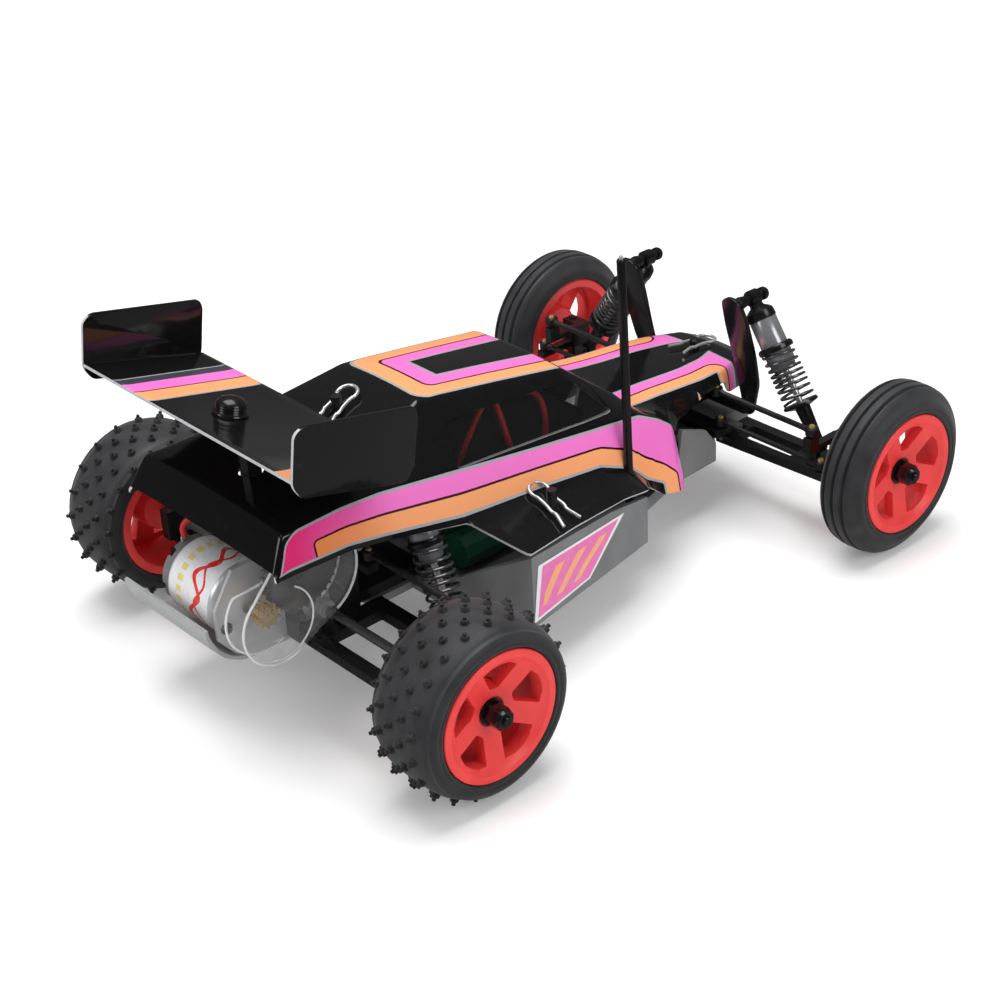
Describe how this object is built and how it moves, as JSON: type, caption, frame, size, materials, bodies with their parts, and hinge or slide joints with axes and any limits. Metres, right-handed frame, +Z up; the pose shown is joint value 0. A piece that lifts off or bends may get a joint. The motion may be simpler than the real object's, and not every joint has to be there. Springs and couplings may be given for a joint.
{
  "type": "rc buggy",
  "caption": "Small off-road radio-controlled buggy with a moulded body, rear wing, sprung independent suspension, steering and driven rear wheels.",
  "frame": {"origin": "on the flat underside of the chassis and gearbox, on the centreline, straight below the rear axle; the ground is 20 mm lower", "axes": "+X forward, +Y to the left of the buggy, +Z up"},
  "size_m": [0.247, 0.1864, 0.1165],
  "materials": {
    "shell_gloss": "glossy black moulded body with painted bands",
    "black_nylon": "satin black moulded nylon",
    "chassis_grey": "satin silver-grey moulded plastic",
    "tyre_rubber": "matt rubber",
    "rim_plastic": "coral red moulded plastic",
    "steel": "bright steel",
    "aluminium": "bright aluminium",
    "spring_steel": "black spring wire",
    "clear_cover": "clear moulded plastic",
    "battery_wrap": "heat-shrink wrap",
    "white_nylon": "natural nylon"
  },
  "bodies": {
    "root": {"chassis_tub": "chassis_grey", "front_shock_tower": "black_nylon", "rear_shock_tower": "black_nylon", "gearbox_case": "black_nylon", "motor_can": "aluminium", "motor_plate": "aluminium", "gear_cover": "clear_cover", "battery_pack": "battery_wrap", "radio_box": "black_nylon", "steering_servo": "black_nylon", "antenna_tube": "black_nylon", "body_shell": "shell_gloss", "rear_wing": "shell_gloss", "body_clip_hood": "steel", "body_clip_roof": "steel", "body_clip_left": "steel", "body_clip_right": "steel"},
    "rear_arm_left": {"rear_arm_left": "black_nylon"},
    "rear_arm_right": {"rear_arm_right": "black_nylon"},
    "rear_hub_left": {"rear_hub_left": "black_nylon"},
    "rear_hub_right": {"rear_hub_right": "black_nylon"},
    "rear_link_left": {"rear_link_left": "black_nylon"},
    "rear_link_right": {"rear_link_right": "black_nylon"},
    "rear_damper_left": {"rear_shock_body_left": "aluminium", "rear_spring_left": "spring_steel"},
    "rear_damper_right": {"rear_shock_body_right": "aluminium", "rear_spring_right": "spring_steel"},
    "rear_damper_rod_left": {"rear_shock_rod_left": "black_nylon"},
    "rear_damper_rod_right": {"rear_shock_rod_right": "black_nylon"},
    "rear_wheel_left": {"rear_rim_left": "rim_plastic", "rear_tyre_left": "tyre_rubber"},
    "rear_wheel_right": {"rear_rim_right": "rim_plastic", "rear_tyre_right": "tyre_rubber"},
    "drive_shaft_left": {"drive_shaft_left": "steel"},
    "drive_shaft_right": {"drive_shaft_right": "steel"},
    "front_arm_left": {"front_arm_left": "black_nylon"},
    "front_arm_right": {"front_arm_right": "black_nylon"},
    "front_carrier_left": {"front_carrier_left": "black_nylon"},
    "front_carrier_right": {"front_carrier_right": "black_nylon"},
    "front_link_left": {"front_link_left": "black_nylon"},
    "front_link_right": {"front_link_right": "black_nylon"},
    "front_damper_left": {"front_shock_body_left": "aluminium", "front_spring_left": "spring_steel"},
    "front_damper_right": {"front_shock_body_right": "aluminium", "front_spring_right": "spring_steel"},
    "front_damper_rod_left": {"front_shock_rod_left": "black_nylon"},
    "front_damper_rod_right": {"front_shock_rod_right": "black_nylon"},
    "front_knuckle_left": {"front_knuckle_left": "black_nylon"},
    "front_knuckle_right": {"front_knuckle_right": "black_nylon"},
    "front_wheel_left": {"front_rim_left": "rim_plastic", "front_tyre_left": "tyre_rubber"},
    "front_wheel_right": {"front_rim_right": "rim_plastic", "front_tyre_right": "tyre_rubber"},
    "tie_rod_left": {"tie_rod_left": "black_nylon"},
    "tie_rod_right": {"tie_rod_right": "black_nylon"},
    "steering_link": {"steering_link": "black_nylon"},
    "servo_horn": {"servo_horn": "white_nylon"},
    "diff_shaft": {"diff_shaft": "steel"},
    "spur_gear": {"spur_gear": "white_nylon"},
    "pinion_gear": {"pinion_gear": "steel"}
  },
  "joints": [
    {"name": "rear_arm_left_hinge", "type": "hinge", "parent": "root", "child": "rear_arm_left", "pos_m": [0, 0.014, 0.0025], "axis": [1, 0, 0], "range_deg": [-10, 12]},
    {"name": "rear_hub_left_pivot", "type": "hinge", "parent": "rear_arm_left", "child": "rear_hub_left", "pos_m": [0, 0.056, 0.0025], "axis": [1, 0, 0], "range_deg": [-12, 10]},
    {"name": "rear_link_left_pivot", "type": "hinge", "parent": "root", "child": "rear_link_left", "pos_m": [0.012, 0.02, 0.026], "axis": [1, 0, 0], "range_deg": [-10, 12]},
    {"name": "rear_damper_left_swing", "type": "hinge", "parent": "root", "child": "rear_damper_left", "pos_m": [0.024, 0.027, 0.043], "axis": [1, 0, 0], "range_deg": [-2, 2.3]},
    {"name": "rear_damper_left_stroke", "type": "slide", "parent": "rear_damper_left", "child": "rear_damper_rod_left", "axis": [0, 0.3846, -0.9231], "range_m": [-0.006, 0.006], "deforming": ["rear_spring_left"]},
    {"name": "rear_wheel_left_spin", "type": "hinge", "parent": "rear_hub_left", "child": "rear_wheel_left", "pos_m": [0, 0.0904, 0.0092], "axis": [0, 1, 0], "continuous": true},
    {"name": "drive_shaft_left_swing", "type": "hinge", "parent": "root", "child": "drive_shaft_left", "pos_m": [0, 0.016, 0.0092], "axis": [1, 0, 0], "range_deg": [-10, 12]},
    {"name": "rear_arm_right_hinge", "type": "hinge", "parent": "root", "child": "rear_arm_right", "pos_m": [0, -0.014, 0.0025], "axis": [-1, 0, 0], "range_deg": [-10, 12]},
    {"name": "rear_hub_right_pivot", "type": "hinge", "parent": "rear_arm_right", "child": "rear_hub_right", "pos_m": [0, -0.056, 0.0025], "axis": [-1, 0, 0], "range_deg": [-12, 10]},
    {"name": "rear_link_right_pivot", "type": "hinge", "parent": "root", "child": "rear_link_right", "pos_m": [0.012, -0.02, 0.026], "axis": [-1, 0, 0], "range_deg": [-10, 12]},
    {"name": "rear_damper_right_swing", "type": "hinge", "parent": "root", "child": "rear_damper_right", "pos_m": [0.024, -0.027, 0.043], "axis": [-1, 0, 0], "range_deg": [-2, 2.3]},
    {"name": "rear_damper_right_stroke", "type": "slide", "parent": "rear_damper_right", "child": "rear_damper_rod_right", "axis": [0, -0.3846, -0.9231], "range_m": [-0.006, 0.006], "deforming": ["rear_spring_right"]},
    {"name": "rear_wheel_right_spin", "type": "hinge", "parent": "rear_hub_right", "child": "rear_wheel_right", "pos_m": [0, -0.0904, 0.0092], "axis": [0, 1, 0], "continuous": true},
    {"name": "drive_shaft_right_swing", "type": "hinge", "parent": "root", "child": "drive_shaft_right", "pos_m": [0, -0.016, 0.0092], "axis": [-1, 0, 0], "range_deg": [-10, 12]},
    {"name": "front_arm_left_hinge", "type": "hinge", "parent": "root", "child": "front_arm_left", "pos_m": [0.173, 0.017, 0.0025], "axis": [1, 0, 0], "range_deg": [-10, 10]},
    {"name": "front_carrier_left_pivot", "type": "hinge", "parent": "front_arm_left", "child": "front_carrier_left", "pos_m": [0.173, 0.0606, 0.0025], "axis": [1, 0, 0], "range_deg": [-10, 10]},
    {"name": "front_link_left_pivot", "type": "hinge", "parent": "root", "child": "front_link_left", "pos_m": [0.161, 0.0194, 0.023], "axis": [1, 0, 0], "range_deg": [-11, 11]},
    {"name": "front_damper_left_swing", "type": "hinge", "parent": "root", "child": "front_damper_left", "pos_m": [0.173, 0.0243, 0.0544], "axis": [1, 0, 0], "range_deg": [-3.2, 3.2]},
    {"name": "front_damper_left_stroke", "type": "slide", "parent": "front_damper_left", "child": "front_damper_rod_left", "axis": [0, 0.5668, -0.8239], "range_m": [-0.0064, 0.0064], "deforming": ["front_spring_left"]},
    {"name": "front_knuckle_left_steer", "type": "hinge", "parent": "front_carrier_left", "child": "front_knuckle_left", "pos_m": [0.176, 0.066, 0.0088], "axis": [0, 0, 1], "range_deg": [-22, 22]},
    {"name": "front_wheel_left_spin", "type": "hinge", "parent": "front_knuckle_left", "child": "front_wheel_left", "pos_m": [0.18, 0.086, 0.0088], "axis": [0, 1, 0], "continuous": true},
    {"name": "front_arm_right_hinge", "type": "hinge", "parent": "root", "child": "front_arm_right", "pos_m": [0.173, -0.017, 0.0025], "axis": [-1, 0, 0], "range_deg": [-10, 10]},
    {"name": "front_carrier_right_pivot", "type": "hinge", "parent": "front_arm_right", "child": "front_carrier_right", "pos_m": [0.173, -0.0606, 0.0025], "axis": [-1, 0, 0], "range_deg": [-10, 10]},
    {"name": "front_link_right_pivot", "type": "hinge", "parent": "root", "child": "front_link_right", "pos_m": [0.161, -0.0194, 0.023], "axis": [-1, 0, 0], "range_deg": [-11, 11]},
    {"name": "front_damper_right_swing", "type": "hinge", "parent": "root", "child": "front_damper_right", "pos_m": [0.173, -0.0243, 0.0544], "axis": [-1, 0, 0], "range_deg": [-3.2, 3.2]},
    {"name": "front_damper_right_stroke", "type": "slide", "parent": "front_damper_right", "child": "front_damper_rod_right", "axis": [0, -0.5668, -0.8239], "range_m": [-0.0064, 0.0064], "deforming": ["front_spring_right"]},
    {"name": "front_knuckle_right_steer", "type": "hinge", "parent": "front_carrier_right", "child": "front_knuckle_right", "pos_m": [0.176, -0.066, 0.0088], "axis": [0, 0, 1], "range_deg": [-22, 22]},
    {"name": "front_wheel_right_spin", "type": "hinge", "parent": "front_knuckle_right", "child": "front_wheel_right", "pos_m": [0.18, -0.086, 0.0088], "axis": [0, 1, 0], "continuous": true},
    {"name": "steering_link_slide", "type": "slide", "parent": "root", "child": "steering_link", "axis": [0, 1, 0], "range_m": [-0.0059, 0.0059]},
    {"name": "servo_horn_turn", "type": "hinge", "parent": "root", "child": "servo_horn", "pos_m": [0.146, 0, 0.0162], "axis": [0, 0, 1], "range_deg": [-22, 22]},
    {"name": "tie_rod_left_pivot", "type": "hinge", "parent": "steering_link", "child": "tie_rod_left", "pos_m": [0.161, 0.0214, 0.0122], "axis": [1, 0, 0], "range_deg": [-10, 10]},
    {"name": "tie_rod_right_pivot", "type": "hinge", "parent": "steering_link", "child": "tie_rod_right", "pos_m": [0.161, -0.0214, 0.0122], "axis": [-1, 0, 0], "range_deg": [-10, 10]},
    {"name": "diff_shaft_spin", "type": "hinge", "parent": "root", "child": "diff_shaft", "pos_m": [0, 0, 0.0092], "axis": [0, 1, 0], "continuous": true},
    {"name": "spur_gear_spin", "type": "hinge", "parent": "root", "child": "spur_gear", "pos_m": [-0.008, 0, 0.027], "axis": [0, 1, 0], "continuous": true},
    {"name": "pinion_gear_spin", "type": "hinge", "parent": "root", "child": "pinion_gear", "pos_m": [-0.021, 0, 0.0172], "axis": [0, 1, 0], "continuous": true}
  ],
  "couplings": [
    {"joint": "rear_hub_left_pivot", "follows": "rear_arm_left_hinge", "ratio": -1},
    {"joint": "rear_link_left_pivot", "follows": "rear_arm_left_hinge", "ratio": 1},
    {"joint": "rear_damper_left_swing", "follows": "rear_arm_left_hinge", "ratio": 0.1528},
    {"joint": "rear_damper_left_stroke", "follows": "rear_arm_left_hinge", "m_per_rad": -0.02765},
    {"joint": "drive_shaft_left_swing", "follows": "rear_arm_left_hinge", "ratio": 1},
    {"joint": "rear_hub_right_pivot", "follows": "rear_arm_right_hinge", "ratio": -1},
    {"joint": "rear_link_right_pivot", "follows": "rear_arm_right_hinge", "ratio": 1},
    {"joint": "rear_damper_right_swing", "follows": "rear_arm_right_hinge", "ratio": 0.1528},
    {"joint": "rear_damper_right_stroke", "follows": "rear_arm_right_hinge", "m_per_rad": -0.02765},
    {"joint": "drive_shaft_right_swing", "follows": "rear_arm_right_hinge", "ratio": 1},
    {"joint": "front_carrier_left_pivot", "follows": "front_arm_left_hinge", "ratio": -1},
    {"joint": "front_link_left_pivot", "follows": "front_arm_left_hinge", "ratio": 1.048},
    {"joint": "front_damper_left_swing", "follows": "front_arm_left_hinge", "ratio": 0.273},
    {"joint": "front_damper_left_stroke", "follows": "front_arm_left_hinge", "m_per_rad": -0.03538},
    {"joint": "tie_rod_left_pivot", "follows": "front_arm_left_hinge", "ratio": 1},
    {"joint": "front_carrier_right_pivot", "follows": "front_arm_right_hinge", "ratio": -1},
    {"joint": "front_link_right_pivot", "follows": "front_arm_right_hinge", "ratio": 1.048},
    {"joint": "front_damper_right_swing", "follows": "front_arm_right_hinge", "ratio": 0.273},
    {"joint": "front_damper_right_stroke", "follows": "front_arm_right_hinge", "m_per_rad": -0.03538},
    {"joint": "tie_rod_right_pivot", "follows": "front_arm_right_hinge", "ratio": 1},
    {"joint": "front_knuckle_left_steer", "follows": "front_knuckle_right_steer", "ratio": 1},
    {"joint": "steering_link_slide", "follows": "front_knuckle_right_steer", "m_per_rad": -0.015},
    {"joint": "servo_horn_turn", "follows": "front_knuckle_right_steer", "ratio": -1},
    {"joint": "rear_wheel_left_spin", "follows": "rear_wheel_right_spin", "ratio": 1},
    {"joint": "diff_shaft_spin", "follows": "rear_wheel_right_spin", "ratio": 1},
    {"joint": "spur_gear_spin", "follows": "rear_wheel_right_spin", "ratio": 2.4},
    {"joint": "pinion_gear_spin", "follows": "rear_wheel_right_spin", "ratio": -8.5333}
  ]
}
